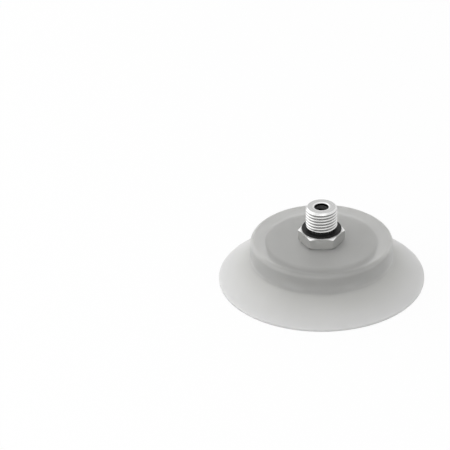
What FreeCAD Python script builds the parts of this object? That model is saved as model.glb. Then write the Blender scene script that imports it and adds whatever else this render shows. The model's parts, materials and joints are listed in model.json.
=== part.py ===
import FreeCAD, Part

import math
import os

import Sketcher

# Flat vacuum cup: a screw-in nipple with its seal ring, and a silicone cup moulded over a support plate.
# Millimetres and degrees. Z is the axis of the cup and points to the thread. Heights are measured up from
# the plane that the relaxed sealing edge stands on.

NODE_FOLDER = "parts"
START = 1
END = 2
CENTRE = 3
ORIGIN_POINT = -1
HORIZONTAL_AXIS = -1
LEAST_CUT = 1e-3

DRIVING_SIZES = (
    ("lip_diameter", 85.7, "outer diameter of the relaxed lip"),
    ("edge_thickness", 0.9, "thickness of the sealing edge"),
    ("land_width", 0.85, "width of the flat land that meets the work"),
    ("lip_root_height", 10.2, "where the outer face of the lip meets the wall of the disc"),
    ("inner_root_diameter", 56.0, "where the inner face of the lip starts"),
    ("inner_root_height", 7.6, "height of that line"),
    ("skirt_inner_diameter", 64.0, "flexing part of the lip, inner parting line"),
    ("skirt_inner_height", 7.9, "outer face of the lip at the inner parting line"),
    ("skirt_outer_diameter", 76.0, "flexing part of the lip, outer parting line"),
    ("skirt_outer_height", 3.7, "outer face of the lip at the outer parting line"),
    ("disc_diameter", 58.6, "wall of the thick disc"),
    ("disc_height", 18.7, "flat top of the disc, which carries the hexagon"),
    ("disc_chamfer", 0.6, "bevel from the top to the wall"),
    ("support_height", 8.8, "flat support face of the underside"),
    ("support_diameter", 45.4, "diameter of the support face"),
    ("recess_diameter", 11.6, "recess round the barbed end of the nipple"),
    ("channel_count", 6, "air channels in the support face"),
    ("channel_angle", 20.0, "opening angle of one channel"),
    ("channel_depth", 1.1, "depth of a channel"),
    ("channel_inner_diameter", 14.0, "inner end of a channel"),
    ("plate_diameter", 46.6, "support plate"),
    ("plate_height", 13.6, "lower face of the support plate"),
    ("plate_thickness", 2.5, "thickness of the support plate"),
    ("nipple_height", 34.4, "top face of the nipple"),
    ("nipple_tip_height", 7.0, "lower end of the nipple"),
    ("bore_diameter", 5.6, "air passage"),
    ("bore_top_chamfer", 0.5, "chamfer of the upper mouth"),
    ("bore_tip_chamfer", 0.4, "chamfer of the lower mouth"),
    ("thread_diameter", 13.157, "G 1/4 male thread"),
    ("thread_end_diameter", 11.4, "end face of the thread"),
    ("thread_end_chamfer", 0.75, "height of the chamfer at the end of the thread"),
    ("hex_width", 17.0, "across the flats"),
    ("hex_sides", 6, "sides of the hexagon"),
    ("hex_height", 4.65, "height of the hexagon"),
    ("hex_turned_diameter", 19.4, "turned corners of the hexagon"),
    ("hex_face_diameter", 17.6, "flat faces above and below the corners"),
    ("hex_chamfer", 0.45, "height of the turned chamfer"),
    ("shank_diameter", 10.4, "shank through plate and cup"),
    ("groove_diameter", 8.6, "groove that the silicone snaps into"),
    ("barb_height", 9.4, "upper shoulder of the barb"),
    ("barb_land", 0.4, "cylindrical part of the barb"),
    ("barb_tip_diameter", 7.8, "lower end of the barb"),
    ("seal_diameter", 16.6, "thread seal ring"),
    ("seal_seat_diameter", 11.8, "undercut below the thread that the ring sits in"),
    ("seal_height", 2.0, "height of the ring"),
    ("seal_chamfer", 0.8, "chamfer of its upper outer edge"),
)


class Size:
    """A number together with the sheet expression that gives it."""

    def __init__(self, value, expression):
        self.value = value
        self.expression = expression

    def __add__(self, other):
        return Size(self.value + other.value, f"({self.expression} + {other.expression})")

    def __sub__(self, other):
        return Size(self.value - other.value, f"({self.expression} - {other.expression})")

    def __mul__(self, other):
        return Size(self.value * other.value, f"({self.expression} * {other.expression})")

    def half(self):
        return Size(self.value / 2, f"({self.expression} / 2)")

    def sine(self):
        return Size(math.sin(math.radians(self.value)), f"sin({self.expression})")

    def negative(self):
        return Size(-self.value, f"(-1 * {self.expression})")


def make_sheet(doc):
    """Writes the driving sizes to a spreadsheet and returns them by name."""
    sheet = doc.addObject("Spreadsheet::Sheet", "Sizes")
    sizes = {}
    for row, (name, value, note) in enumerate(DRIVING_SIZES, start=1):
        sheet.set(f"A{row}", note)
        sheet.set(f"B{row}", str(value))
        sheet.setAlias(f"B{row}", name)
        sizes[name] = Size(value, f"Sizes.{name}")
    doc.recompute()
    return sizes


def make_body(doc, label):
    """Starts the solid of one piece."""
    body = doc.addObject("PartDesign::Body", label)
    body.Label = label
    return body


def origin_feature(body, role):
    """Finds one of the body's own planes or axes."""
    for feature in body.Origin.OriginFeatures:
        if feature.Role == role:
            return feature
    raise RuntimeError(f"{body.Label} has no {role}")


def make_sketch(body, name, plane, height=None):
    """Attaches a sketch to one of the body's planes, lifted to a height where one is given."""
    sketch = body.newObject("Sketcher::SketchObject", name)
    sketch.AttachmentSupport = [(origin_feature(body, plane), "")]
    sketch.MapMode = "FlatFace"
    if height is not None:
        sketch.setExpression(".AttachmentOffset.Base.z", height.expression)
    return sketch


def hold(sketch, kind, element, point, size):
    """Ties a coordinate of a point to the sheet."""
    number = sketch.addConstraint(Sketcher.Constraint(kind, element, point, size.value))
    sketch.setExpression(f"Constraints[{number}]", size.expression)


def hold_radius(sketch, element, size):
    """Ties the radius of an arc to the sheet."""
    number = sketch.addConstraint(Sketcher.Constraint("Radius", element, size.value))
    sketch.setExpression(f"Constraints[{number}]", size.expression)


def draw_outline(sketch, corners):
    """Draws a closed outline through corners given as pairs of sizes."""
    count = len(corners)
    points = [FreeCAD.Vector(radius.value, height.value, 0) for radius, height in corners]
    for number in range(count):
        start = points[number]
        end = points[(number + 1) % count]
        sketch.addGeometry(Part.LineSegment(start, end), False)
    for number in range(count):
        following = (number + 1) % count
        sketch.addConstraint(Sketcher.Constraint("Coincident", number, END, following, START))
    for number, (radius, height) in enumerate(corners):
        hold(sketch, "DistanceX", number, START, radius)
        if height.value:
            hold(sketch, "DistanceY", number, START, height)
        else:
            on_axis = Sketcher.Constraint("PointOnObject", number, START, HORIZONTAL_AXIS)
            sketch.addConstraint(on_axis)


def revolve(body, name, corners):
    """Turns an outline of (radius, height) corners round the axis of the cup."""
    sketch = make_sketch(body, f"{name}_outline", "XZ_Plane")
    draw_outline(sketch, corners)
    turned = body.newObject("PartDesign::Revolution", f"{name}_turned")
    turned.Profile = sketch
    turned.ReferenceAxis = (sketch, ["V_Axis"])
    turned.Angle = 360
    body.Document.recompute()
    return turned


def cut_round(body, base, name, sketch, depth, count):
    """Cuts a sketch upwards into the body, and repeats the cut round the axis."""
    doc = body.Document
    volume_before = base.Shape.Volume
    pocket = body.newObject("PartDesign::Pocket", name)
    pocket.Profile = sketch
    pocket.Reversed = True
    pocket.setExpression("Length", depth.expression)
    doc.recompute()
    volume_after = pocket.Shape.Volume
    if volume_before - volume_after < LEAST_CUT:
        raise RuntimeError(f"{name} cuts nothing")
    pattern = body.newObject("PartDesign::PolarPattern", f"{name}_round")
    pattern.Originals = [pocket]
    pattern.Axis = (origin_feature(body, "Z_Axis"), [""])
    pattern.Angle = 360
    pattern.setExpression("Occurrences", count.expression)
    body.Tip = pattern
    doc.recompute()
    if volume_after - pattern.Shape.Volume < LEAST_CUT:
        raise RuntimeError(f"{name} is not repeated")
    return pattern


def make_nipple(doc, size):
    """Turned blank with bore, barb and thread cylinder, then six milled flats."""
    body = make_body(doc, "connection_nipple")
    bore = size["bore_diameter"].half()
    tip = size["nipple_tip_height"]
    top = size["nipple_height"]
    shank = size["shank_diameter"].half()
    groove = size["groove_diameter"].half()
    barb = size["barb_height"]
    plate_bottom = size["plate_height"]
    hex_bottom = size["disc_height"]
    hex_top = hex_bottom + size["hex_height"]
    hex_face = size["hex_face_diameter"].half()
    hex_corner = size["hex_turned_diameter"].half()
    seat = size["seal_seat_diameter"].half()
    thread = size["thread_diameter"].half()
    thread_bottom = hex_top + size["seal_height"]
    corners = (
        (bore + size["bore_tip_chamfer"], tip),
        (size["barb_tip_diameter"].half(), tip),
        (shank, barb - size["barb_land"]),
        (shank, barb),
        (groove, barb),
        (groove, plate_bottom),
        (shank, plate_bottom),
        (shank, hex_bottom),
        (hex_face, hex_bottom),
        (hex_corner, hex_bottom + size["hex_chamfer"]),
        (hex_corner, hex_top - size["hex_chamfer"]),
        (hex_face, hex_top),
        (seat, hex_top),
        (seat, thread_bottom),
        (thread, thread_bottom),
        (thread, top - size["thread_end_chamfer"]),
        (size["thread_end_diameter"].half(), top),
        (bore + size["bore_top_chamfer"], top),
        (bore, top - size["bore_top_chamfer"]),
        (bore, tip + size["bore_tip_chamfer"]),
    )
    blank = revolve(body, "nipple", corners)
    flat = size["hex_width"].half()
    outside = size["hex_turned_diameter"]
    side = size["hex_turned_diameter"].half()
    sketch = make_sketch(body, "hex_flat", "XY_Plane", hex_bottom)
    flat_corners = (
        (side.negative(), outside.negative()),
        (side, outside.negative()),
        (side, flat.negative()),
        (side.negative(), flat.negative()),
    )
    draw_outline(sketch, flat_corners)
    cut_round(body, blank, "hex_flats", sketch, size["hex_height"], size["hex_sides"])
    return body


def make_seal_ring(doc, size):
    """Moulded ring that fills the undercut below the thread and rests on the hexagon."""
    body = make_body(doc, "thread_seal_ring")
    inner = size["seal_seat_diameter"].half()
    outer = size["seal_diameter"].half()
    bottom = size["disc_height"] + size["hex_height"]
    top = bottom + size["seal_height"]
    chamfer = size["seal_chamfer"]
    corners = (
        (inner, bottom),
        (outer, bottom),
        (outer, top - chamfer),
        (outer - chamfer, top),
        (inner, top),
    )
    revolve(body, "seal", corners)
    return body


def make_support_plate(doc, size):
    """Flat disc that the silicone is moulded over, with a hole for the shank."""
    body = make_body(doc, "support_plate")
    inner = size["shank_diameter"].half()
    outer = size["plate_diameter"].half()
    bottom = size["plate_height"]
    top = bottom + size["plate_thickness"]
    revolve(body, "plate", ((inner, bottom), (outer, bottom), (outer, top), (inner, top)))
    return body


def draw_channel(sketch, size):
    """Wedge between two arcs about the axis, one air channel of the support face."""
    inner = size["channel_inner_diameter"].half()
    outer = size["support_diameter"].half()
    half_angle = size["channel_angle"].half()
    turn = math.radians(half_angle.value)
    zero = FreeCAD.Vector(0, 0, 0)
    upward = FreeCAD.Vector(0, 0, 1)
    right = FreeCAD.Vector(math.cos(turn), -math.sin(turn), 0)
    left = FreeCAD.Vector(math.cos(turn), math.sin(turn), 0)
    inner_arc, outer_arc, right_side, left_side = range(4)
    for radius in (inner.value, outer.value):
        circle = Part.Circle(zero, upward, radius)
        sketch.addGeometry(Part.ArcOfCircle(circle, -turn, turn), False)
    for direction in (right, left):
        side = Part.LineSegment(direction * inner.value, direction * outer.value)
        sketch.addGeometry(side, False)
    meetings = (
        (right_side, START, inner_arc, START),
        (right_side, END, outer_arc, START),
        (left_side, START, inner_arc, END),
        (left_side, END, outer_arc, END),
        (inner_arc, CENTRE, ORIGIN_POINT, START),
        (outer_arc, CENTRE, ORIGIN_POINT, START),
    )
    for meeting in meetings:
        sketch.addConstraint(Sketcher.Constraint("Coincident", *meeting))
    hold_radius(sketch, inner_arc, inner)
    hold_radius(sketch, outer_arc, outer)
    for point, radius in ((START, inner), (END, outer)):
        offset = radius * half_angle.sine()
        hold(sketch, "DistanceY", left_side, point, offset)
        hold(sketch, "DistanceY", right_side, point, offset.negative())


def make_moulding(doc, size):
    """The silicone in one piece: disc with its plate pocket and air channels, and the lip."""
    body = make_body(doc, "silicone_moulding")
    shank = size["shank_diameter"].half()
    groove = size["groove_diameter"].half()
    recess = size["recess_diameter"].half()
    barb = size["barb_height"]
    plate = size["plate_diameter"].half()
    plate_bottom = size["plate_height"]
    plate_top = plate_bottom + size["plate_thickness"]
    disc_top = size["disc_height"]
    bevel = size["disc_chamfer"]
    wall = size["disc_diameter"].half()
    rim = size["lip_diameter"].half()
    work_plane = Size(0, "0")
    support = size["support_height"]
    corners = (
        (shank, disc_top),
        (wall - bevel, disc_top),
        (wall, disc_top - bevel),
        (wall, size["lip_root_height"]),
        (size["skirt_inner_diameter"].half(), size["skirt_inner_height"]),
        (size["skirt_outer_diameter"].half(), size["skirt_outer_height"]),
        (rim, size["edge_thickness"]),
        (rim, work_plane),
        (rim - size["land_width"], work_plane),
        (size["inner_root_diameter"].half(), size["inner_root_height"]),
        (size["support_diameter"].half(), support),
        (recess, support),
        (recess, barb),
        (groove, barb),
        (groove, plate_bottom),
        (plate, plate_bottom),
        (plate, plate_top),
        (shank, plate_top),
    )
    turned = revolve(body, "moulding", corners)
    sketch = make_sketch(body, "air_channel", "XY_Plane", support)
    draw_channel(sketch, size)
    cut_round(body, turned, "air_channels", sketch, size["channel_depth"], size["channel_count"])
    return body


def parting_cylinder(doc, name, diameter, size):
    """Cylinder about the axis, taller than the cup, that parts the moulding."""
    cylinder = doc.addObject("Part::Cylinder", name)
    cylinder.setExpression("Radius", diameter.half().expression)
    cylinder.setExpression("Height", size["nipple_height"].expression)
    return cylinder


def combine(doc, kind, label, base, tool):
    """Boolean of two solids."""
    result = doc.addObject(kind, label)
    result.Base = base
    result.Tool = tool
    result.Label = label
    doc.recompute()
    return result


def part_moulding(doc, moulding, size):
    """Parts the moulding into the stiff disc, the flexing skirt and the sealing edge."""
    inner = parting_cylinder(doc, "inner_parting", size["skirt_inner_diameter"], size)
    outer = parting_cylinder(doc, "outer_parting", size["skirt_outer_diameter"], size)
    disc = combine(doc, "Part::Common", "cup_disc", moulding, inner)
    within = combine(doc, "Part::Common", "within_outer_parting", moulding, outer)
    skirt = combine(doc, "Part::Cut", "lip_skirt", within, inner)
    edge = combine(doc, "Part::Cut", "sealing_edge", moulding, outer)
    return [disc, skirt, edge]


def check_document(doc):
    """Stops if any object of the document failed to build."""
    for item in doc.Objects:
        if "Invalid" in item.State or "Error" in item.State:
            raise RuntimeError(f"{item.Label} failed: {item.State}")


def check_piece(piece):
    """Stops unless the piece is one sound solid, and returns that solid."""
    if piece.Shape.isNull() or not piece.Shape.isValid():
        raise RuntimeError(f"{piece.Label} has no valid shape")
    if len(piece.Shape.Solids) != 1:
        raise RuntimeError(f"{piece.Label} has {len(piece.Shape.Solids)} solids")
    return piece.Shape.Solids[0]


def main():
    doc = FreeCAD.newDocument("FlatVacuumCup")
    size = make_sheet(doc)
    pieces = [make_nipple(doc, size), make_seal_ring(doc, size), make_support_plate(doc, size)]
    moulding = make_moulding(doc, size)
    pieces += part_moulding(doc, moulding, size)
    doc.recompute()
    check_document(doc)
    solids = {piece.Label: check_piece(piece) for piece in pieces}
    os.makedirs(NODE_FOLDER, exist_ok=True)
    for name, solid in solids.items():
        solid.exportStep(os.path.join(NODE_FOLDER, f"{name}.step"))
        print(f"{name}: {solid.Volume:.1f} mm3")


main()
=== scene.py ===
import json
import math

import bmesh
import bpy
from bpy.props import FloatProperty, FloatVectorProperty, IntProperty, PointerProperty
from mathutils import Matrix, Quaternion, Vector


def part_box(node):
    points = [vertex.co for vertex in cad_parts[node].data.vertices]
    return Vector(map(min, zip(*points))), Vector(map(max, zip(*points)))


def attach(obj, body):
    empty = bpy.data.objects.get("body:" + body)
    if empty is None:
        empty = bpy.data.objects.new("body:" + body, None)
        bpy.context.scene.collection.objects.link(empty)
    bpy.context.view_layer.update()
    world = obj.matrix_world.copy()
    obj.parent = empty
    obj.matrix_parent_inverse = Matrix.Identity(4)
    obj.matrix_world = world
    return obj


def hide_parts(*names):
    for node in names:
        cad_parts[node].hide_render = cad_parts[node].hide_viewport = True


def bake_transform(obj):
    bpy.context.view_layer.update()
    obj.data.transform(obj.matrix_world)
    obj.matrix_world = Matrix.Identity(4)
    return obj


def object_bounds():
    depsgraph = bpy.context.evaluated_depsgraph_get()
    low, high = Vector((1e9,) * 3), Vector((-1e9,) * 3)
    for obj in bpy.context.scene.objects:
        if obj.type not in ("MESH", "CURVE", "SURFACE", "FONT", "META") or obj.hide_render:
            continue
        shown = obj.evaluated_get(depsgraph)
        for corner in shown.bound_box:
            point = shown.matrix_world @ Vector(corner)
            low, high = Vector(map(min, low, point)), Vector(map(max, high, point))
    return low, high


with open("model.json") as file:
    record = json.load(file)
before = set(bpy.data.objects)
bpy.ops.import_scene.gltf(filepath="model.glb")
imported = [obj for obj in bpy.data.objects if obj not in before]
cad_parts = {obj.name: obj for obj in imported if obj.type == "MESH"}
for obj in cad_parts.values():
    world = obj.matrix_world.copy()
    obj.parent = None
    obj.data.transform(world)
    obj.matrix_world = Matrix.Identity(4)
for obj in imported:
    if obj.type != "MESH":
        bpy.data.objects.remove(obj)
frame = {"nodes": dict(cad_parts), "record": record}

bl_info = {
    "name": "Flat Vacuum Cup",
    "version": (1, 0, 0),
    "blender": (4, 5, 0),
    "location": "View3D > Sidebar > Vacuum Cup",
    "description": "Dresses the packed vacuum cup: silicone cup, screw-in nipple, seal ring and studio",
    "category": "Object",
}

MM = 0.001
CAD_LOW, CAD_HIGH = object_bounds()
RIM_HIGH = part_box("sealing_edge")[1]
DISC_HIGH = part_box("cup_disc")[1]
NIPPLE_LOW, NIPPLE_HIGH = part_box("connection_nipple")
SEAL_LOW, SEAL_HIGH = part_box("thread_seal_ring")
PLATE_LOW, PLATE_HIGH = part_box("support_plate")
MOUNTS = {mount["name"]: mount for mount in frame["record"]["mounts"]}
THREAD_RADIUS = MOUNTS["thread"]["dims"]["r_mm"] * MM
BORE_RADIUS = MOUNTS["air_bore"]["dims"]["r_mm"] * MM
WHITE = (1, 1, 1)

# Sizes that the nipple and the silicone round it share
SHANK_RADIUS = 5.2 * MM
GROOVE_RADIUS = 4.3 * MM
BARB_HEIGHT = 9.4 * MM

# The silicone is bonded to the plate, so its pocket is this much smaller than the plate
PLATE_BOND = 0.05 * MM

# Fineness of the meshes
ARC_STEPS = 6
LIP_STEPS = 10
TURN_STEPS = 96
BLANK_STEPS = 120
THREAD_STEPS = 16
SHARP_ANGLE = math.radians(40)
WELD = 0.002 * MM
TINY = 1e-7

# Points this far beside each rounding keep the shading of the flat faces even
SHOULDER = 0.06 * MM

# Material slots of the nipple, and how steeply a face of the hexagon looks up to get the painted highlight
THREAD_SLOT, MILLED_SLOT, TURNED_SLOT, BORE_SLOT, TOP_HIGHLIGHT_SLOT = range(5)
HIGHLIGHT_RISE = 0.3


def length(name, default, description):
    """A property for a size in metres."""
    return FloatProperty(
        name=name, description=description, default=default, min=0, precision=5, unit="LENGTH"
    )


def position(name, default, description):
    """A property for a place in metres."""
    return FloatVectorProperty(
        name=name, description=description, default=default, size=3, subtype="TRANSLATION", unit="LENGTH"
    )


def degrees(name, default, description):
    """A property for an angle that is given in degrees."""
    return FloatProperty(name=name, description=description, default=math.radians(default), subtype="ANGLE")


def pixels(name, default, description):
    """A property for a size or place in the picture."""
    return FloatProperty(name=name, description=description, default=default, min=0, subtype="PIXEL")


def power(name, default, description):
    """A property for the power of a light."""
    return FloatProperty(name=name, description=description, default=default, min=0, unit="POWER")


def share(name, default, description):
    """A property for a share from 0 to 1."""
    return FloatProperty(name=name, description=description, default=default, min=0, max=1, subtype="FACTOR")


def colour(name, default, description):
    """A property for a linear colour."""
    return FloatVectorProperty(
        name=name, description=description, default=default, min=0, max=1, size=3, subtype="COLOR"
    )


class SiliconeSettings(bpy.types.PropertyGroup):
    """Sizes and looks of the silicone cup."""

    rim_radius: length("Rim radius", RIM_HIGH.x, "Outer radius of the relaxed lip")
    edge_thickness: length("Edge thickness", 0.9 * MM, "Thickness of the sealing edge")
    land_width: length("Land width", 0.85 * MM, "Width of the land that meets the work")
    edge_rounding: length("Edge rounding", 0.25 * MM, "Rounding of the sealing edge")
    lip_sag: length("Lip sag", 0.45 * MM, "How far the outer face of the lip is hollow")
    wall_radius: length("Wall radius", 29.6 * MM, "Wall of the thick disc")
    lip_root_height: length("Lip root height", 10.2 * MM, "Where the lip meets the wall")
    lip_root_rounding: length("Lip root rounding", 3.0 * MM, "Hollow rounding between lip and wall")
    disc_height: length("Disc height", DISC_HIGH.z, "Flat top of the disc")
    disc_rounding: length("Disc rounding", 1.7 * MM, "Rounding between that top and the wall")
    inner_root_radius: length("Inner root radius", 28.0 * MM, "Where the inner face of the lip starts")
    inner_root_height: length("Inner root height", 7.6 * MM, "Height of that line")
    inner_root_rounding: length("Inner root rounding", 3.0 * MM, "Rounding along that line")
    support_radius: length("Support radius", 22.7 * MM, "Flat support face of the underside")
    support_height: length("Support height", 8.8 * MM, "Height of the support face")
    recess_radius: length("Recess radius", 5.8 * MM, "Recess round the barbed end of the nipple")
    snap_radius: length("Snap radius", GROOVE_RADIUS, "Silicone in the groove of the nipple")
    snap_height: length("Snap height", BARB_HEIGHT, "Lower side of that silicone")
    shank_radius: length("Shank radius", SHANK_RADIUS, "Hole for the shank of the nipple")
    channel_count: IntProperty(
        name="Channels", description="Air channels in the support face", default=6, min=1
    )
    channel_half_angle: degrees("Channel half angle", 10, "Half of the opening angle of one channel")
    channel_inner_radius: length("Channel inner radius", 7.0 * MM, "Inner end of a channel")
    channel_depth: length("Channel depth", 1.1 * MM, "Depth of a channel")
    channel_wall: length("Channel wall", 0.35 * MM, "How far the ends of a channel slope")
    # Tones by radius: the wall and the thin lip are painted lighter for light shining through, the lip root
    # and the rim edge are painted darker as shade
    centre_colour: colour("Centre", (0.60, 0.60, 0.585), "Over the support plate")
    ring_colour: colour("Ring", (0.55, 0.55, 0.535), "Outer ring of the disc, beside the plate")
    wall_light_colour: colour("Wall", (0.64, 0.64, 0.625), "Thick wall of the disc")
    root_shade_colour: colour("Root", (0.48, 0.48, 0.465), "Root of the lip")
    lip_light_colour: colour("Lip", (0.69, 0.69, 0.68), "Thin part of the lip")
    rim_shade_colour: colour("Rim", (0.60, 0.60, 0.59), "Outer edge of the lip")
    inside_colour: colour("Inside", (0.72, 0.72, 0.71), "Underside, seen through the disc")
    # The channels seen from inside are painted dark, as shade
    channel_shade_colour: colour("Channels", (0.38, 0.38, 0.375), "Air channels, seen from inside")
    roughness: share("Roughness", 0.42, "Satin of the moulded surface")
    clearness: share("Clearness", 0.5, "Light that goes straight through")
    haze: FloatProperty(name="Haze", description="Light lost in the disc, per metre", default=10, min=0)
    refraction: FloatProperty(name="Refraction", description="Refractive index", default=1.41, min=1)
    scatter: length("Scatter", 4.0 * MM, "How far light travels inside the silicone")


class NippleSettings(bpy.types.PropertyGroup):
    """Sizes and looks of the screw-in nipple."""

    top_height: length("Top height", NIPPLE_HIGH.z, "End face of the thread")
    tip_height: length("Tip height", NIPPLE_LOW.z, "Lower end of the nipple")
    bore_radius: length("Bore radius", BORE_RADIUS, "Air passage")
    bore_chamfer: length("Bore chamfer", 0.5 * MM, "Chamfer of the mouths")
    thread_radius: length("Thread radius", THREAD_RADIUS, "Crests of the thread")
    thread_depth: length("Thread depth", 0.77 * MM, "From crest to root")
    thread_pitch: length("Thread pitch", 1.337 * MM, "From crest to crest")
    thread_start: length("Thread start", SEAL_HIGH.z, "Height of a groove on the right-hand side")
    thread_bottom: length("Thread bottom", SEAL_HIGH.z - 0.35 * MM, "Where the thread runs out")
    thread_fullness: share("Thread fullness", 0.8, "1 gives waves, less gives broad crests")
    thread_end_radius: length("Thread end radius", 5.8 * MM, "End face of the thread")
    thread_end_chamfer: length("Thread end chamfer", 0.75 * MM, "Height of its chamfer")
    neck_radius: length("Neck radius", 5.6 * MM, "Undercut inside the seal ring")
    hex_width: length("Hexagon width", 17.0 * MM, "Across the flats")
    hex_bottom: length("Hexagon bottom", DISC_HIGH.z, "Lower face of the hexagon")
    hex_top: length("Hexagon top", SEAL_LOW.z, "Upper face of the hexagon")
    hex_turned_radius: length("Hexagon turned radius", NIPPLE_HIGH.x, "Turned corners of the hexagon")
    hex_face_radius: length("Hexagon face radius", 8.8 * MM, "Flat faces above and below the corners")
    hex_chamfer: length("Hexagon chamfer", 0.45 * MM, "Height of the turned chamfer")
    hex_bevel: length("Hexagon bevel", 0.24 * MM, "Broken edges of the hexagon")
    shank_radius: length("Shank radius", SHANK_RADIUS, "Shank through plate and cup")
    groove_radius: length("Groove radius", GROOVE_RADIUS, "Groove that the silicone snaps into")
    groove_top: length("Groove top", PLATE_LOW.z, "Upper side of the groove")
    barb_height: length("Barb height", BARB_HEIGHT, "Upper shoulder of the barb")
    barb_land: length("Barb land", 0.4 * MM, "Cylindrical part of the barb")
    barb_tip_radius: length("Barb tip radius", 3.9 * MM, "Lower end of the barb")
    barb_rounding: length("Barb rounding", 0.15 * MM, "Rounding of that end")
    # A painted highlight round the mouth of the bore, on the end face and on its chamfer
    mouth_highlight_width: length("Bright width", 0.2 * MM, "Highlight ring round the mouth of the bore")
    metal_colour: colour("Metal", (0.57, 0.57, 0.565), "Turned faces")
    mouth_highlight_colour: colour("Bright metal", (0.80, 0.80, 0.80), "Highlight ring")
    thread_colour: colour("Thread metal", (0.72, 0.72, 0.715), "Crests and chamfer of the thread")
    # The grooves of the thread are painted darker, as shade
    groove_shade_colour: colour("Groove metal", (0.44, 0.44, 0.435), "Grooves of the thread")
    milled_colour: colour("Milled metal", (0.64, 0.64, 0.63), "Flats of the hexagon")
    # Faces of the hexagon that look up are painted almost white, as a highlight
    top_highlight_colour: colour("Highlit metal", (0.95, 0.95, 0.94), "Turned upper face of the hexagon")
    bore_colour: colour("Bore", (0.45, 0.45, 0.455), "Wall of the bore")
    # Painted shade inside the mouth of the bore and deep down in it
    bore_shade_colour: colour("Shaded", (0.004, 0.004, 0.004), "Dark ring inside its mouth, and deep down")
    roughness: share("Roughness", 0.26, "Turned finish")
    thread_roughness: share("Thread roughness", 0.26, "Rolled finish")
    milled_roughness: share("Milled roughness", 0.3, "Milled finish")
    top_highlight_roughness: share("Highlit roughness", 0.55, "Matt turned finish")


class SealSettings(bpy.types.PropertyGroup):
    """Sizes and looks of the thread seal ring."""

    outer_radius: length("Outer radius", SEAL_HIGH.x, "Outside of the ring")
    inner_radius: length("Inner radius", 5.85 * MM, "Hole of the ring, round the neck")
    bottom: length("Bottom", SEAL_LOW.z, "Face on the hexagon")
    top: length("Top", SEAL_LOW.z + 1.15 * MM, "Upper face, under the thread")
    upper_rounding: length("Upper rounding", 0.45 * MM, "Rounding of the upper outer edge")
    lower_rounding: length("Lower rounding", 0.3 * MM, "Rounding of the lower edges")
    foot_radius: length("Foot radius", 7.1 * MM, "Where the ring leaves the hexagon")
    underside_rise: length("Underside rise", 0.4 * MM, "Rise of the underside to the outer edge")
    rubber_colour: colour("Rubber", (0.002, 0.002, 0.0022), "Black rubber")
    roughness: share("Roughness", 0.42, "Satin of the moulded ring")
    gloss: share("Gloss", 0.24, "Strength of its reflections")


class PlateSettings(bpy.types.PropertyGroup):
    """Looks of the support plate."""

    metal_colour: colour("Metal", (0.40, 0.40, 0.39), "Satin metal")
    # The edge of the plate is painted dark, as shade on its side
    edge_shade_colour: colour("Edge", (0.10, 0.10, 0.098), "Dark cut edge")
    edge_width: length("Edge width", 0.4 * MM, "How far the dark edge shows on the faces")
    roughness: share("Roughness", 0.45, "Satin finish")


class StageSettings(bpy.types.PropertyGroup):
    """Camera, lights and floor."""

    picture_size: pixels("Picture size", 450, "Width and height of the picture")
    focal_pixels: pixels("Focal length", 4069.5, "Focal length in pixels")
    axis_column: pixels("Axis column", 321.5, "Where the foot of the axis shows, from the left")
    axis_row: pixels("Axis row", 277.54, "Where the foot of the axis shows, from the top")
    camera_distance: length("Camera distance", 1.7, "From the foot of the axis")
    camera_elevation: degrees("Camera elevation", 31.3, "Above the floor")
    floor_size: length("Floor size", 6.0, "Width of the floor")
    floor_drop: length("Floor drop", 0.15 * MM, "Gap between the sealing edge and the floor")
    floor_shade: share("Floor shade", 0.08, "How much of a shadow the white floor shows")
    floor_colour: colour("Floor", (0.95, 0.95, 0.95), "White floor")
    ambient: FloatProperty(name="Ambient", description="Soft light from all sides", default=0.77, min=0)
    key_power: power("Key power", 2.1, "Large light at the left")
    key_place: position("Key place", (-0.60, 0.10, 0.36), "Middle of that light")
    key_width: length("Key width", 1.20, "Width of that light")
    key_height: length("Key height", 0.70, "Height of that light")
    top_power: power("Top power", 0.35, "Light above the front")
    top_place: position("Top place", (0, -0.34, 0.49), "Middle of that light")
    top_width: length("Top width", 0.70, "Width of that light")
    top_height: length("Top height", 0.20, "Height of that light")


def rounded(outline):
    """Points of a closed outline of (radius, height, rounding), with an arc at each rounded corner."""
    points = []
    count = len(outline)
    for number, (radius, height, rounding) in enumerate(outline):
        corner = Vector((radius, height))
        if rounding < TINY:
            points.append(corner)
            continue
        back = (Vector(outline[number - 1][:2]) - corner).normalized()
        ahead = (Vector(outline[(number + 1) % count][:2]) - corner).normalized()
        opening = back.angle(ahead)
        reach = rounding / math.tan(opening / 2)
        centre = corner + (back + ahead).normalized() * rounding / math.sin(opening / 2)
        first = corner + back * reach - centre
        last = corner + ahead * reach - centre
        start = math.atan2(first.y, first.x)
        turn = math.remainder(math.atan2(last.y, last.x) - start, math.tau)
        points.append(corner + back * (reach + SHOULDER))
        for step in range(ARC_STEPS + 1):
            angle = start + turn * step / ARC_STEPS
            points.append(centre + rounding * Vector((math.cos(angle), math.sin(angle))))
        points.append(corner + ahead * (reach + SHOULDER))
    return points


def sagging(start, end, sag, steps):
    """Points between two ends, on a curve that hangs below their line by sag in the middle."""
    line = end - start
    down = Vector((line.y, -line.x)).normalized()
    points = []
    for step in range(1, steps):
        along = step / steps
        points.append(start + line * along + down * sag * 4 * along * (1 - along))
    return points


def even_angles(count):
    """Angles at equal steps round the axis."""
    return [math.tau * number / count for number in range(count)]


def turn_outline(shape, points, angles, closed=True, slot=0):
    """Turns an outline of (radius, height) points round the axis, and gives its faces a material slot."""
    rows = []
    for radius, height in points:
        rows.append([shape.verts.new((radius * math.cos(a), radius * math.sin(a), height)) for a in angles])
    following = rows[1:] + rows[:1] if closed else rows[1:]
    for row, other in zip(rows, following):
        count = len(row)
        for number in range(count):
            after = (number + 1) % count
            face = shape.faces.new((row[number], row[after], other[after], other[number]))
            face.material_index = slot


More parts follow.
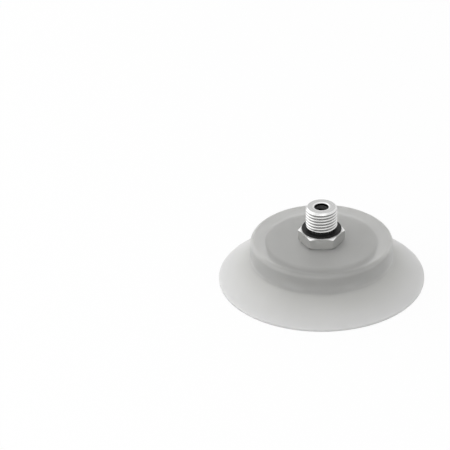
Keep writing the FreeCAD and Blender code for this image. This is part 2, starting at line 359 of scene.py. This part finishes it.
def to_object(shape, name):
    """Makes an object from a bmesh, smooth but for its sharp edges."""
    bmesh.ops.recalc_face_normals(shape, faces=shape.faces)
    mesh = bpy.data.meshes.new(name)
    shape.to_mesh(mesh)
    shape.free()
    mesh.shade_smooth()
    mesh.set_sharp_from_angle(angle=SHARP_ANGLE)
    made = bpy.data.objects.new(name, mesh)
    bpy.context.scene.collection.objects.link(made)
    return made


def apply_modifiers(made):
    """Replaces the mesh of an object by the one that its modifiers give."""
    graph = bpy.context.evaluated_depsgraph_get()
    plain = made.data
    made.data = bpy.data.meshes.new_from_object(made.evaluated_get(graph))
    made.data.name = plain.name
    made.modifiers.clear()
    bpy.data.meshes.remove(plain)


def channel_angles(size):
    """Angles round the cup, with two close together at each wall of a channel."""
    sector = math.tau / size.channel_count
    half = size.channel_half_angle
    wall_share = 0.04
    floor_steps = 6
    land_steps = 12
    floor_edge = half * (1 - wall_share)
    land_edge = half * (1 + wall_share)
    angles = []
    for number in range(size.channel_count):
        middle = sector * number
        for step in range(floor_steps + 1):
            angles.append(middle - floor_edge + 2 * floor_edge * step / floor_steps)
        for step in range(land_steps + 1):
            angles.append(middle + land_edge + (sector - 2 * land_edge) * step / land_steps)
    return angles


def cup_outline(size):
    """Section of the silicone cup as (radius, height, rounding), from the top outwards."""
    root = Vector((size.wall_radius, size.lip_root_height))
    edge = Vector((size.rim_radius, size.edge_thickness))
    lip = [(point.x, point.y, 0) for point in sagging(root, edge, size.lip_sag, LIP_STEPS)]
    channel_outer = size.support_radius - size.channel_wall
    channel_inner = size.channel_inner_radius + size.channel_wall
    middle = (channel_inner + channel_outer) / 2
    top = [
        (size.shank_radius, size.disc_height, 0),
        (size.wall_radius, size.disc_height, size.disc_rounding),
        (root.x, root.y, size.lip_root_rounding),
    ]
    rim = [
        (edge.x, edge.y, size.edge_rounding),
        (size.rim_radius, 0, size.edge_rounding),
        (size.rim_radius - size.land_width, 0, size.edge_rounding),
        (size.inner_root_radius, size.inner_root_height, size.inner_root_rounding),
    ]
    face_radii = (
        size.support_radius, channel_outer, middle, channel_inner, size.channel_inner_radius,
        size.recess_radius,
    )
    underside = [(radius, size.support_height, 0) for radius in face_radii]
    pocket = [
        (size.recess_radius, size.snap_height, 0),
        (size.snap_radius, size.snap_height, 0),
        (size.snap_radius, PLATE_LOW.z + PLATE_BOND, 0),
        (PLATE_HIGH.x - PLATE_BOND, PLATE_LOW.z + PLATE_BOND, 0),
        (PLATE_HIGH.x - PLATE_BOND, PLATE_HIGH.z - PLATE_BOND, 0),
        (size.shank_radius, PLATE_HIGH.z - PLATE_BOND, 0),
    ]
    return top + lip + rim + underside + pocket


def sink_channels(shape, size):
    """Lifts the part of the support face that lies inside a channel."""
    sector = math.tau / size.channel_count
    inner = size.channel_inner_radius + size.channel_wall - TINY
    outer = size.support_radius - size.channel_wall + TINY
    for vertex in shape.verts:
        radius = vertex.co.xy.length
        off_middle = math.remainder(math.atan2(vertex.co.y, vertex.co.x), sector)
        on_face = abs(vertex.co.z - size.support_height) < TINY
        if on_face and inner < radius < outer and abs(off_middle) < size.channel_half_angle:
            vertex.co.z += size.channel_depth


def empty_tree(owner):
    """The node tree of a material or world, with nothing in it."""
    owner.use_nodes = True
    owner.node_tree.nodes.clear()
    return owner.node_tree


def new_material(name):
    """A node material with one shader, its tree and that shader."""
    material = bpy.data.materials.new(name)
    tree = empty_tree(material)
    output = tree.nodes.new("ShaderNodeOutputMaterial")
    shader = tree.nodes.new("ShaderNodeBsdfPrincipled")
    tree.links.new(shader.outputs["BSDF"], output.inputs["Surface"])
    return material, tree, shader


def new_node(tree, kind, settings=(), inputs=()):
    """Adds a node, sets its own settings, and links its inputs to outputs or sets them to fixed values."""
    node = tree.nodes.new(kind)
    for name, value in dict(settings).items():
        setattr(node, name, value)
    for name, value in dict(inputs).items():
        if isinstance(value, bpy.types.NodeSocket):
            tree.links.new(value, node.inputs[name])
        else:
            node.inputs[name].default_value = value
    return node


def calculate(tree, operation, *values):
    """Result of a calculation with outputs or fixed numbers."""
    node = new_node(tree, "ShaderNodeMath", {"operation": operation}, enumerate(values))
    return node.outputs["Value"]


def fade(tree, value, start, end, low=0, high=1):
    """Goes from low to high while the value goes from start to end."""
    node = new_node(tree, "ShaderNodeMapRange", inputs={
        "Value": value, "From Min": start, "From Max": end, "To Min": low, "To Max": high,
    })
    return node.outputs["Result"]


def place_in_part(tree):
    """Place of a point in the part's own frame."""
    return new_node(tree, "ShaderNodeTexCoord").outputs["Object"]


def radius_of(tree, place):
    """Distance of a place from the axis."""
    flat = new_node(tree, "ShaderNodeVectorMath", {"operation": "MULTIPLY"}, {0: place, 1: (1, 1, 0)})
    radius = new_node(tree, "ShaderNodeVectorMath", {"operation": "LENGTH"}, {0: flat.outputs["Vector"]})
    return radius.outputs["Value"]


def height_of(tree, place):
    """Height of a place."""
    return new_node(tree, "ShaderNodeSeparateXYZ", inputs={"Vector": place}).outputs["Z"]


def noise(tree, place, scale, detail):
    """Noise by place, from 0 to 1."""
    node = new_node(tree, "ShaderNodeTexNoise", inputs={"Vector": place, "Scale": scale, "Detail": detail})
    return node.outputs["Fac"]


def vary(tree, value, middle, reach):
    """Spreads a value from 0 to 1 evenly round a middle."""
    return fade(tree, value, 0, 1, middle - reach, middle + reach)


def ramp(tree, value, highest, stops):
    """Colour by value, from stops of (value, colour), with highest at the end of the ramp."""
    node = new_node(tree, "ShaderNodeValToRGB", inputs={"Fac": fade(tree, value, 0, highest)})
    elements = node.color_ramp.elements
    while len(elements) < len(stops):
        elements.new(1)
    for element, (stop, shade) in zip(elements, stops):
        element.position = stop / highest
        element.color = (*shade, 1)
    return node.outputs["Color"]


def fixed_or_output(shade):
    """A fixed colour with its alpha, or an output as it is."""
    if isinstance(shade, bpy.types.NodeSocket):
        return shade
    return (*shade, 1)


def brighten(tree, shade, factor):
    """A colour, an output or a fixed one, times a factor."""
    node = new_node(tree, "ShaderNodeHueSaturation", inputs={
        "Color": fixed_or_output(shade), "Value": factor,
    })
    return node.outputs["Color"]


def mix_colours(tree, amount, first, second):
    """Blend of two colours, each an output or a fixed one."""
    node = new_node(tree, "ShaderNodeMixRGB", inputs={
        "Fac": amount, "Color1": fixed_or_output(first), "Color2": fixed_or_output(second),
    })
    return node.outputs["Color"]


def bump(tree, shader, height, strength, depth):
    """Bumps the surface by a height from 0 to 1."""
    node = new_node(tree, "ShaderNodeBump", inputs={
        "Height": height, "Strength": strength, "Distance": depth,
    })
    tree.links.new(node.outputs["Normal"], shader.inputs["Normal"])


def clear_the_disc(tree, shader, size, tone, radius, place):
    """Lets light into the thick disc and out through its top and wall, but not through its underside."""
    margin = 0.05 * MM
    fade_width = 1.0 * MM
    half_depth = size.channel_depth / 2
    inside = new_node(tree, "ShaderNodeNewGeometry").outputs["Backfacing"]
    height = height_of(tree, place)
    closed = calculate(tree, "COMPARE", height, size.support_height + half_depth, half_depth + margin)
    way_out = calculate(tree, "SUBTRACT", 1, closed)
    in_channel = fade(tree, height, size.support_height + margin, size.support_height + 3 * margin)
    # Painted shade on the channels seen from inside
    closed_tone = mix_colours(tree, in_channel, size.inside_colour, size.channel_shade_colour)
    inside_tone = mix_colours(tree, way_out, closed_tone, WHITE)
    way_in = fade(tree, radius, size.wall_radius, size.wall_radius + fade_width, size.clearness, 0)
    for name, value in (
        ("Base Color", mix_colours(tree, inside, tone, inside_tone)),
        ("Subsurface Weight", fade(tree, inside, 0, 1, 1, 0)),
        ("Transmission Weight", fade(tree, inside, 0, 1, way_in, way_out)),
    ):
        tree.links.new(value, shader.inputs[name])


def silicone_material(size):
    """Milky silicone: clear enough to show the plate, with painted light where the lip is thin, painted shade
    at the root of the lip and on the rim edge, and a moulded grain.
    """
    material, tree, shader = new_material("milky_silicone")
    place = place_in_part(tree)
    radius = radius_of(tree, place)
    # Painted light and shade by radius: a lighter wall and thin lip, a darker lip root and rim edge
    stops = (
        (PLATE_HIGH.x - 0.5 * MM, size.centre_colour),
        (PLATE_HIGH.x + 0.5 * MM, size.ring_colour),
        (size.wall_radius - 1.0 * MM, size.ring_colour),
        (size.wall_radius - 0.1 * MM, size.wall_light_colour),
        (size.wall_radius + 0.03 * MM, size.wall_light_colour),
        (size.wall_radius + 0.3 * MM, size.root_shade_colour),
        (size.rim_radius - 0.3 * MM, size.lip_light_colour),
        (size.rim_radius - 0.05 * MM, size.rim_shade_colour),
    )
    tone = ramp(tree, radius, size.rim_radius, stops)
    clouds = noise(tree, place, scale=70, detail=3)
    tone = brighten(tree, tone, vary(tree, clouds, middle=1, reach=0.035))
    clear_the_disc(tree, shader, size, tone, radius, place)
    grain = noise(tree, place, scale=2600, detail=2)
    tree.links.new(vary(tree, grain, size.roughness, reach=0.05), shader.inputs["Roughness"])
    bump(tree, shader, grain, strength=0.12, depth=0.03 * MM)
    shader.inputs["IOR"].default_value = size.refraction
    shader.inputs["Subsurface Radius"].default_value = (1, 1, 0.95)
    shader.inputs["Subsurface Scale"].default_value = size.scatter
    soak = new_node(tree, "ShaderNodeVolumeAbsorption", inputs={"Color": (0, 0, 0, 1), "Density": size.haze})
    output = tree.get_output_node("ALL")
    tree.links.new(soak.outputs["Volume"], output.inputs["Volume"])
    return material


def ring_marks(tree, place, radius, scale):
    """Noise that is the same all round the axis, as a lathe tool leaves it."""
    section = new_node(tree, "ShaderNodeCombineXYZ", inputs={"X": radius, "Y": height_of(tree, place)})
    return noise(tree, section.outputs["Vector"], scale, detail=2)


def turned_metal(name, shade, roughness, inner_radius, inner_shade):
    """Satin metal with the fine rings of a lathe, and another shade inside one radius."""
    material, tree, shader = new_material(name)
    blend_width = 0.3 * MM
    place = place_in_part(tree)
    radius = radius_of(tree, place)
    marks = ring_marks(tree, place, radius, scale=5200)
    blotches = noise(tree, place, scale=260, detail=3)
    inner = fade(tree, radius, inner_radius, inner_radius + blend_width, 1, 0)
    tone = mix_colours(tree, inner, shade, inner_shade)
    tone = brighten(tree, tone, vary(tree, blotches, middle=1, reach=0.05))
    tree.links.new(tone, shader.inputs["Base Color"])
    tree.links.new(vary(tree, marks, roughness, reach=0.07), shader.inputs["Roughness"])
    bump(tree, shader, marks, strength=0.1, depth=0.004 * MM)
    shader.inputs["Metallic"].default_value = 1
    return material


def grained_metal(name, tone, roughness, metallic=1):
    """Smooth metal with an even fine grain. Its tone is a colour, or a function that gives one by place."""
    material, tree, shader = new_material(name)
    place = place_in_part(tree)
    grain = noise(tree, place, scale=1800, detail=3)
    if callable(tone):
        tone = tone(tree, place)
    tone = brighten(tree, tone, vary(tree, grain, middle=1, reach=0.02))
    tree.links.new(tone, shader.inputs["Base Color"])
    tree.links.new(vary(tree, grain, roughness, reach=0.04), shader.inputs["Roughness"])
    bump(tree, shader, grain, strength=0.05, depth=0.003 * MM)
    shader.inputs["Metallic"].default_value = metallic
    return material


def thread_material(size):
    """Rolled metal, bright on the crests and on the chamfer, with painted shade darkening the grooves."""
    crest_start = size.thread_radius - 0.45 * MM
    crest_end = size.thread_radius - 0.15 * MM
    chamfer_height = size.top_height - size.thread_end_chamfer
    margin = 0.05 * MM

    def painted_groove_shade(tree, place):
        on_crest = fade(tree, radius_of(tree, place), crest_start, crest_end)
        on_chamfer = fade(tree, height_of(tree, place), chamfer_height - margin, chamfer_height + margin)
        bright = calculate(tree, "MAXIMUM", on_crest, on_chamfer)
        return mix_colours(tree, bright, size.groove_shade_colour, size.thread_colour)

    return grained_metal("rolled_metal", painted_groove_shade, size.thread_roughness)


def bore_material(size):
    """Drilled metal: a painted highlight on the chamfer of the mouth, painted shade below it, grey further
    in, and painted shade deep down.
    """
    material, tree, shader = new_material("drilled_bore")
    place = place_in_part(tree)
    depth = calculate(tree, "SUBTRACT", size.top_height, height_of(tree, place))
    deepest = 4.0 * MM
    # Painted by depth: a highlight on the chamfer, shade below it and deep down, the grey wall between
    stops = (
        (size.bore_chamfer - 0.3 * MM, size.mouth_highlight_colour),
        (size.bore_chamfer - 0.2 * MM, size.bore_shade_colour),
        (1.0 * MM, size.bore_shade_colour),
        (1.4 * MM, size.bore_colour),
        (2.6 * MM, size.bore_colour),
        (3.0 * MM, size.bore_shade_colour),
    )
    tree.links.new(ramp(tree, depth, deepest, stops), shader.inputs["Base Color"])
    marks = ring_marks(tree, place, radius_of(tree, place), scale=3000)
    tree.links.new(vary(tree, marks, middle=0.5, reach=0.1), shader.inputs["Roughness"])
    shader.inputs["Metallic"].default_value = 1
    return material


def rubber_material(size):
    """Black moulded rubber with a fine grain."""
    material, tree, shader = new_material("black_seal_rubber")
    grain = noise(tree, place_in_part(tree), scale=3800, detail=2)
    tone = brighten(tree, size.rubber_colour, fade(tree, grain, 0, 1, low=0.8, high=1.25))
    tree.links.new(tone, shader.inputs["Base Color"])
    satin = fade(tree, grain, 0, 1, size.roughness - 0.06, size.roughness + 0.08)
    tree.links.new(satin, shader.inputs["Roughness"])
    bump(tree, shader, grain, strength=0.15, depth=0.02 * MM)
    shader.inputs["Specular IOR Level"].default_value = size.gloss
    return material


class MakeSiliconeCup(bpy.types.Operator):
    """Make the silicone cup with its disc, lip and air channels"""

    bl_idname = "vacuum_cup.make_silicone_cup"
    bl_label = "Silicone cup"

    def execute(self, context):
        size = context.scene.silicone_cup
        shape = bmesh.new()
        turn_outline(shape, rounded(cup_outline(size)), channel_angles(size))
        sink_channels(shape, size)
        cup = to_object(shape, "silicone_cup")
        cup.data.materials.append(silicone_material(size))
        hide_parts("cup_disc", "lip_skirt", "sealing_edge")
        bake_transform(cup)
        return {"FINISHED"}


def nipple_outline(size):
    """Section of the turned nipple below the thread, as (radius, height, rounding)."""
    return [
        (size.bore_radius + size.bore_chamfer, size.tip_height, 0),
        (size.barb_tip_radius, size.tip_height, size.barb_rounding),
        (size.shank_radius, size.barb_height - size.barb_land, 0),
        (size.shank_radius, size.barb_height, 0),
        (size.groove_radius, size.barb_height, 0),
        (size.groove_radius, size.groove_top, 0),
        (size.shank_radius, size.groove_top, 0),
        (size.shank_radius, size.hex_top, 0),
        (size.neck_radius, size.hex_top, 0),
        (size.neck_radius, size.thread_bottom, 0),
    ]


def bore_outline(size):
    """Points of the bore wall, from its lower to its upper mouth, which the end face goes round."""
    mouth = size.bore_radius + size.bore_chamfer
    return [
        Vector((mouth, size.tip_height)),
        Vector((size.bore_radius, size.tip_height + size.bore_chamfer)),
        Vector((size.bore_radius, size.top_height - size.bore_chamfer)),
        Vector((mouth, size.top_height)),
    ]


def wind_thread(shape, size):
    """Winds the thread as rows that climb by one pitch in each turn, and cuts its foot level."""
    turns_below = 2
    turns = math.ceil((size.top_height - size.thread_bottom) / size.thread_pitch) + turns_below
    slope = (size.thread_radius - size.thread_end_radius) / size.thread_end_chamfer
    columns = []
    for angle in even_angles(TURN_STEPS) + [math.tau]:
        column = []
        for row in range(turns * THREAD_STEPS + 1):
            climb = row / THREAD_STEPS + angle / math.tau - turns_below
            height = min(size.thread_start + climb * size.thread_pitch, size.top_height)
            crest = (0.5 - 0.5 * math.cos(math.tau * row / THREAD_STEPS)) ** size.thread_fullness
            to_end = max(min(size.top_height - height, height - size.thread_bottom), 0)
            chamfer = size.thread_end_radius + to_end * slope
            radius = min(size.thread_radius - size.thread_depth * (1 - crest), chamfer)
            column.append(shape.verts.new((radius * math.cos(angle), radius * math.sin(angle), height)))
        columns.append(column)
    for column, other in zip(columns, columns[1:]):
        for row in range(turns * THREAD_STEPS):
            face = shape.faces.new((column[row], other[row], other[row + 1], column[row + 1]))
            face.material_index = THREAD_SLOT
    bmesh.ops.remove_doubles(shape, verts=shape.verts, dist=WELD)
    bmesh.ops.bisect_plane(
        shape, geom=[*shape.verts, *shape.edges, *shape.faces], clear_inner=True,
        plane_co=(0, 0, size.thread_bottom), plane_no=(0, 0, 1),
    )


def make_hexagon(size):
    """Hexagon prism cut to the turned blank, with broken edges."""
    prism = bmesh.new()
    corner_radius = size.hex_width / math.sqrt(3)
    low = size.hex_bottom - size.hex_bevel
    lift = Matrix.Translation((0, 0, (size.hex_top + low) / 2))
    flat_to_front = Matrix.Rotation(math.pi / 6, 4, "Z")
    bmesh.ops.create_cone(
        prism, cap_ends=True, segments=6, radius1=corner_radius, radius2=corner_radius,
        depth=size.hex_top - low, matrix=lift @ flat_to_front,
    )
    hexagon = to_object(prism, "hexagon")
    blank = bmesh.new()
    hidden_radius = (size.bore_radius + size.shank_radius) / 2
    margin = 0.5 * MM
    outline = (
        Vector((hidden_radius, size.hex_bottom - margin)),
        Vector((size.hex_face_radius - margin, size.hex_bottom - margin)),
        Vector((size.hex_face_radius, size.hex_bottom)),
        Vector((size.hex_turned_radius, size.hex_bottom + size.hex_chamfer)),
        Vector((size.hex_turned_radius, size.hex_top - size.hex_chamfer)),
        Vector((size.hex_face_radius, size.hex_top)),
        Vector((size.hex_face_radius - margin, size.hex_top + margin)),
        Vector((hidden_radius, size.hex_top + margin)),
    )
    turn_outline(blank, outline, even_angles(BLANK_STEPS))
    cutter = to_object(blank, "hexagon_blank")
    meet = hexagon.modifiers.new("turned", "BOOLEAN")
    meet.operation = "INTERSECT"
    meet.object = cutter
    apply_modifiers(hexagon)
    broken = hexagon.modifiers.new("broken_edges", "BEVEL")
    broken.width = size.hex_bevel
    broken.segments = 1
    broken.limit_method = "ANGLE"
    broken.angle_limit = math.radians(25)
    apply_modifiers(hexagon)
    for vertex in hexagon.data.vertices:
        vertex.co.z = max(vertex.co.z, size.hex_bottom)
    # Faces that look up get the painted highlight, the others the milled flats
    for face in hexagon.data.polygons:
        face.material_index = TOP_HIGHLIGHT_SLOT if face.normal.z > HIGHLIGHT_RISE else MILLED_SLOT
    bpy.data.objects.remove(cutter)
    return hexagon


class MakeNipple(bpy.types.Operator):
    """Make the screw-in nipple with its thread, hexagon, bore and barb"""

    bl_idname = "vacuum_cup.make_nipple"
    bl_label = "Connection nipple"

    def execute(self, context):
        size = context.scene.nipple
        hexagon = make_hexagon(size)
        shape = bmesh.new()
        wind_thread(shape, size)
        shape.from_mesh(hexagon.data)
        bpy.data.objects.remove(hexagon)
        bore = bore_outline(size)
        end_face = [bore[-1], Vector((size.thread_end_radius, size.top_height))]
        below_thread = rounded(nipple_outline(size))
        for points, slot in ((below_thread, TURNED_SLOT), (end_face, TURNED_SLOT), (bore, BORE_SLOT)):
            turn_outline(shape, points, even_angles(TURN_STEPS), closed=False, slot=slot)
        bmesh.ops.remove_doubles(shape, verts=shape.verts, dist=TINY)
        thread_foot = [edge for edge in shape.edges if edge.is_boundary]
        for face in bmesh.ops.bridge_loops(shape, edges=thread_foot)["faces"]:
            face.material_index = TURNED_SLOT
        nipple = to_object(shape, "nipple")
        for face in nipple.data.polygons:
            if face.material_index in (MILLED_SLOT, TOP_HIGHLIGHT_SLOT):
                face.use_smooth = False
        # Inside this radius the end face is painted as a highlight round the mouth of the bore
        mouth = size.bore_radius + size.bore_chamfer + size.mouth_highlight_width
        for material in (
            thread_material(size),
            grained_metal("milled_metal", size.milled_colour, size.milled_roughness),
            turned_metal("turned_metal", size.metal_colour, size.roughness, mouth, size.mouth_highlight_colour),
            bore_material(size),
            # Painted highlight on the upward faces of the hexagon
            grained_metal("hexagon_top_highlight", size.top_highlight_colour, size.top_highlight_roughness, metallic=0.2),
        ):
            nipple.data.materials.append(material)
        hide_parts("connection_nipple")
        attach(nipple, "holder")
        return {"FINISHED"}


class MakeSealRing(bpy.types.Operator):
    """Make the black ring that seals the thread"""

    bl_idname = "vacuum_cup.make_seal_ring"
    bl_label = "Thread seal ring"

    def execute(self, context):
        size = context.scene.seal_ring
        outline = (
            (size.inner_radius, size.bottom, 0),
            (size.foot_radius, size.bottom, size.lower_rounding),
            (size.outer_radius, size.bottom + size.underside_rise, size.lower_rounding),
            (size.outer_radius, size.top, size.upper_rounding),
            (size.inner_radius, size.top, 0),
        )
        shape = bmesh.new()
        turn_outline(shape, rounded(outline), even_angles(TURN_STEPS))
        ring = to_object(shape, "seal_ring")
        ring.data.materials.append(rubber_material(size))
        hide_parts("thread_seal_ring")
        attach(ring, "holder")
        return {"FINISHED"}


class DressSupportPlate(bpy.types.Operator):
    """Give the support plate inside the cup its metal, with painted shade on its edge"""

    bl_idname = "vacuum_cup.dress_support_plate"
    bl_label = "Support plate"

    def execute(self, context):
        size = context.scene.support_plate
        plate = frame["nodes"]["support_plate"]
        plate.data.materials.clear()
        # Outside this radius the plate is painted dark, as shade on its edge
        face_radius = PLATE_HIGH.x - size.edge_width
        plate.data.materials.append(
            turned_metal("plate_metal", size.edge_shade_colour, size.roughness, face_radius, size.metal_colour)
        )
        return {"FINISHED"}


def white_to_sight(tree):
    """1 for what the camera, a reflection or clear material sees, and 0 for other light."""
    path = new_node(tree, "ShaderNodeLightPath")
    seen = path.outputs["Is Camera Ray"]
    for name in ("Is Glossy Ray", "Is Transmission Ray"):
        seen = calculate(tree, "MAXIMUM", seen, path.outputs[name])
    return seen


def mix_to_output(tree, output, amount, first, second):
    """Sends a blend of two shaders to an output node."""
    mix = new_node(tree, "ShaderNodeMixShader")
    for socket, value in zip(mix.inputs, (amount, first, second)):
        tree.links.new(value, socket)
    tree.links.new(mix.outputs["Shader"], output.inputs["Surface"])


def floor_material(size):
    """White floor that shows a faint shadow."""
    material = bpy.data.materials.new("white_floor")
    tree = empty_tree(material)
    output = new_node(tree, "ShaderNodeOutputMaterial")
    lit = new_node(tree, "ShaderNodeBsdfDiffuse", inputs={"Color": (*size.floor_colour, 1)})
    white = new_node(tree, "ShaderNodeEmission")
    amount = calculate(tree, "MULTIPLY", white_to_sight(tree), 1 - size.floor_shade)
    mix_to_output(tree, output, amount, lit.outputs["BSDF"], white.outputs["Emission"])
    return material


def make_world(size):
    """White surroundings to look at, and an even soft light."""
    world = bpy.data.worlds.new("white_studio")
    tree = empty_tree(world)
    output = new_node(tree, "ShaderNodeOutputWorld")
    soft, white = [
        new_node(tree, "ShaderNodeBackground", inputs={"Color": (*WHITE, 1), "Strength": strength})
        for strength in (size.ambient, 1)
    ]
    amount = white_to_sight(tree)
    mix_to_output(tree, output, amount, soft.outputs["Background"], white.outputs["Background"])
    return world


def add_softbox(name, place, width, height, energy):
    """Area light that shines at the middle of the cup."""
    lamp = bpy.data.lights.new(name, "AREA")
    lamp.shape = "RECTANGLE"
    lamp.size = width
    lamp.size_y = height
    lamp.energy = energy
    light = bpy.data.objects.new(name, lamp)
    light.location = place
    middle = (CAD_LOW + CAD_HIGH) / 2
    light.rotation_mode = "QUATERNION"
    light.rotation_quaternion = (middle - Vector(place)).to_track_quat("-Z", "Y")
    bpy.context.scene.collection.objects.link(light)


def add_camera(size):
    """Camera at the photograph's viewing angle, turned so that the cup stands at its place in the frame."""
    lens = bpy.data.cameras.new("camera")
    lens.lens = size.focal_pixels / size.picture_size * lens.sensor_width
    lens.clip_start = 10 * MM
    camera = bpy.data.objects.new("camera", lens)
    rise = size.camera_elevation
    back = Vector((0, -math.cos(rise), math.sin(rise)))
    camera.location = back * size.camera_distance
    right_offset = size.axis_column - size.picture_size / 2
    down_offset = size.axis_row - size.picture_size / 2
    swing = math.atan2(right_offset, size.focal_pixels)
    tilt = math.atan2(down_offset, math.hypot(size.focal_pixels, right_offset))
    aim = (-back).to_track_quat("-Z", "Y")
    turn = Quaternion((0, 1, 0), swing) @ Quaternion((1, 0, 0), tilt)
    camera.rotation_mode = "QUATERNION"
    camera.rotation_quaternion = aim @ turn
    bpy.context.scene.collection.objects.link(camera)
    bpy.context.scene.camera = camera


class MakeStage(bpy.types.Operator):
    """Make the white floor, the soft lights and the camera"""

    bl_idname = "vacuum_cup.make_stage"
    bl_label = "Stage"

    def execute(self, context):
        size = context.scene.stage
        shape = bmesh.new()
        bmesh.ops.create_grid(shape, x_segments=1, y_segments=1, size=size.floor_size / 2)
        floor = to_object(shape, "floor")
        floor.location.z = CAD_LOW.z - size.floor_drop
        floor.data.materials.append(floor_material(size))
        context.scene.world = make_world(size)
        add_softbox("key_softbox", size.key_place, size.key_width, size.key_height, size.key_power)
        add_softbox("top_softbox", size.top_place, size.top_width, size.top_height, size.top_power)
        add_camera(size)
        context.scene.view_settings.view_transform = "Standard"
        return {"FINISHED"}


class VacuumCupPanel(bpy.types.Panel):
    """Lists the pieces of the vacuum cup."""

    bl_idname = "VIEW3D_PT_vacuum_cup"
    bl_label = "Vacuum Cup"
    bl_space_type = "VIEW_3D"
    bl_region_type = "UI"
    bl_category = "Vacuum Cup"

    def draw(self, context):
        for operator in OPERATORS:
            self.layout.operator(operator.bl_idname)


SETTINGS = {
    "silicone_cup": SiliconeSettings,
    "nipple": NippleSettings,
    "seal_ring": SealSettings,
    "support_plate": PlateSettings,
    "stage": StageSettings,
}
OPERATORS = (MakeSiliconeCup, MakeNipple, MakeSealRing, DressSupportPlate, MakeStage)
CLASSES = (*SETTINGS.values(), *OPERATORS, VacuumCupPanel)


def register():
    """Registers the classes and hangs the settings on the scene."""
    for item in CLASSES:
        bpy.utils.register_class(item)
    for name, group in SETTINGS.items():
        setattr(bpy.types.Scene, name, PointerProperty(type=group))


def unregister():
    """Takes the settings and the classes out again."""
    for name in SETTINGS:
        delattr(bpy.types.Scene, name)
    for item in reversed(CLASSES):
        bpy.utils.unregister_class(item)


def main():
    """Makes all pieces and the stage."""
    register()
    bpy.ops.vacuum_cup.make_silicone_cup()
    bpy.ops.vacuum_cup.make_nipple()
    bpy.ops.vacuum_cup.make_seal_ring()
    bpy.ops.vacuum_cup.dress_support_plate()
    bpy.ops.vacuum_cup.make_stage()


if __name__ == "__main__":
    main()
